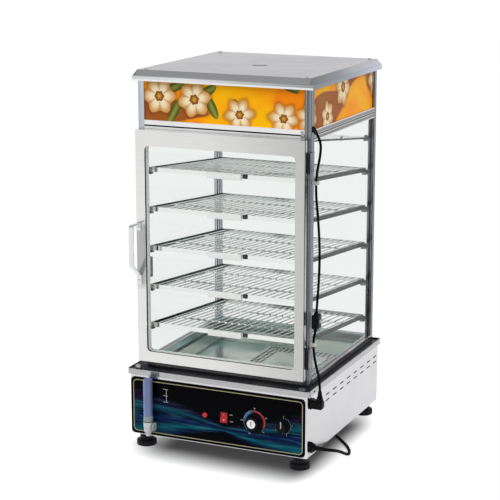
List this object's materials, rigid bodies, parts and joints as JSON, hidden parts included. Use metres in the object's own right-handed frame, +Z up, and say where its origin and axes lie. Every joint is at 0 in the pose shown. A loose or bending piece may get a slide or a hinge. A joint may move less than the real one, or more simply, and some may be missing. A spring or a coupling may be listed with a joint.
{
  "type": "steamed bun cabinet",
  "caption": "Glazed counter cabinet on a water-heated base, with sloping wire shelves, a hinged glass door, a lit sign box on top and a front control panel.",
  "frame": {"origin": "middle of the bounding box in plan, on the surface that the feet stand on", "axes": "+Z up, -Y the door and control side, +X to the right of a person facing the door"},
  "size_m": [0.4954, 0.6233, 0.8646],
  "materials": {
    "zinc": "zinc plated",
    "stainless": "satin folded sheet",
    "panel_print": "gloss print on sheet",
    "black_plastic": "fine grain",
    "grey_rubber": "matte",
    "clear_glass": "clear",
    "chrome": "polished",
    "drip_acrylic": "clear",
    "black_rubber": "matte",
    "polished_steel": "polished",
    "rail_aluminium": "satin anodised",
    "dark_steel": "matte",
    "white_plastic": "smooth",
    "cord_pvc": "smooth",
    "lamp_white": "gloss",
    "red_plastic": "gloss",
    "post_aluminium": "satin anodised",
    "tube_acrylic": "clear blue",
    "sign_print": "gloss printed acrylic",
    "clear_plastic": "gloss",
    "cap_steel": "satin"
  },
  "bodies": {
    "cabinet": {"base_floor": "zinc", "base_shell": "stainless", "control_panel": "panel_print", "door_catch": "black_plastic", "drip_plate": "drip_acrylic", "feet": "black_rubber", "filler_lid": "polished_steel", "floor_pan": "polished_steel", "foot_rails": "rail_aluminium", "glass_panes": "clear_glass", "header_frame": "zinc", "header_rails": "rail_aluminium", "heating_element": "polished_steel", "hinge_frame_leaves": "dark_steel", "lamp_holders": "white_plastic", "lamp_lead": "cord_pvc", "lamp_switch": "black_plastic", "lamp_tube": "lamp_white", "lead_clips": "white_plastic", "lead_grommet": "black_rubber", "lead_plug": "black_plastic", "pan_head_screws": "chrome", "pilot_lamp": "red_plastic", "post_brackets": "dark_steel", "post_front_left": "post_aluminium", "post_front_right": "post_aluminium", "post_rear_left": "post_aluminium", "post_rear_right": "post_aluminium", "power_cord": "cord_pvc", "power_cord_coil": "cord_pvc", "power_gland": "black_plastic", "power_plug": "black_plastic", "rim_gasket": "black_rubber", "rim_tray": "stainless", "rocker_housing": "black_plastic", "selector_body": "black_plastic", "shelf_1": "chrome", "shelf_2": "chrome", "shelf_3": "chrome", "shelf_4": "chrome", "shelf_5": "chrome", "shelf_grips": "white_plastic", "side_socket": "black_plastic", "sight_tube": "tube_acrylic", "sign_panels": "sign_print", "steam_cover": "polished_steel", "tap_body": "chrome", "thermostat_body": "black_plastic", "top_cap": "cap_steel", "water_tank": "polished_steel"},
    "door": {"door_frame": "stainless", "door_glass": "clear_glass", "door_gasket": "grey_rubber", "door_handle": "chrome", "hinge_door_leaves": "dark_steel"},
    "thermostat": {"thermostat_knob": "black_plastic"},
    "selector": {"selector_knob": "black_plastic"},
    "rocker_key": {"rocker": "red_plastic"},
    "tap_key": {"tap_lever": "clear_plastic"},
    "lamp_button": {"lamp_switch_button": "white_plastic"}
  },
  "joints": [
    {"name": "door_hinge", "type": "hinge", "parent": "cabinet", "child": "door", "pos_m": [0.208, -0.203, 0.467], "axis": [0, 0, 1], "range_deg": [0, 110]},
    {"name": "thermostat_turn", "type": "hinge", "parent": "cabinet", "child": "thermostat", "pos_m": [0.093, -0.2245, 0.101], "axis": [0, 1, 0], "range_deg": [0, 270]},
    {"name": "selector_turn", "type": "hinge", "parent": "cabinet", "child": "selector", "pos_m": [0.163, -0.2245, 0.101], "axis": [0, 1, 0], "range_deg": [0, 240]},
    {"name": "rocker_tilt", "type": "hinge", "parent": "cabinet", "child": "rocker_key", "pos_m": [0.019, -0.224, 0.101], "axis": [1, 0, 0], "range_deg": [0, 18]},
    {"name": "tap_turn", "type": "hinge", "parent": "cabinet", "child": "tap_key", "pos_m": [-0.152, -0.238, 0.059], "axis": [1, 0, 0], "range_deg": [0, 90]},
    {"name": "lamp_button_press", "type": "slide", "parent": "cabinet", "child": "lamp_button", "axis": [-1, 0, 0], "range_m": [0, 0.0014], "stiffness_N_per_m": 500}
  ]
}
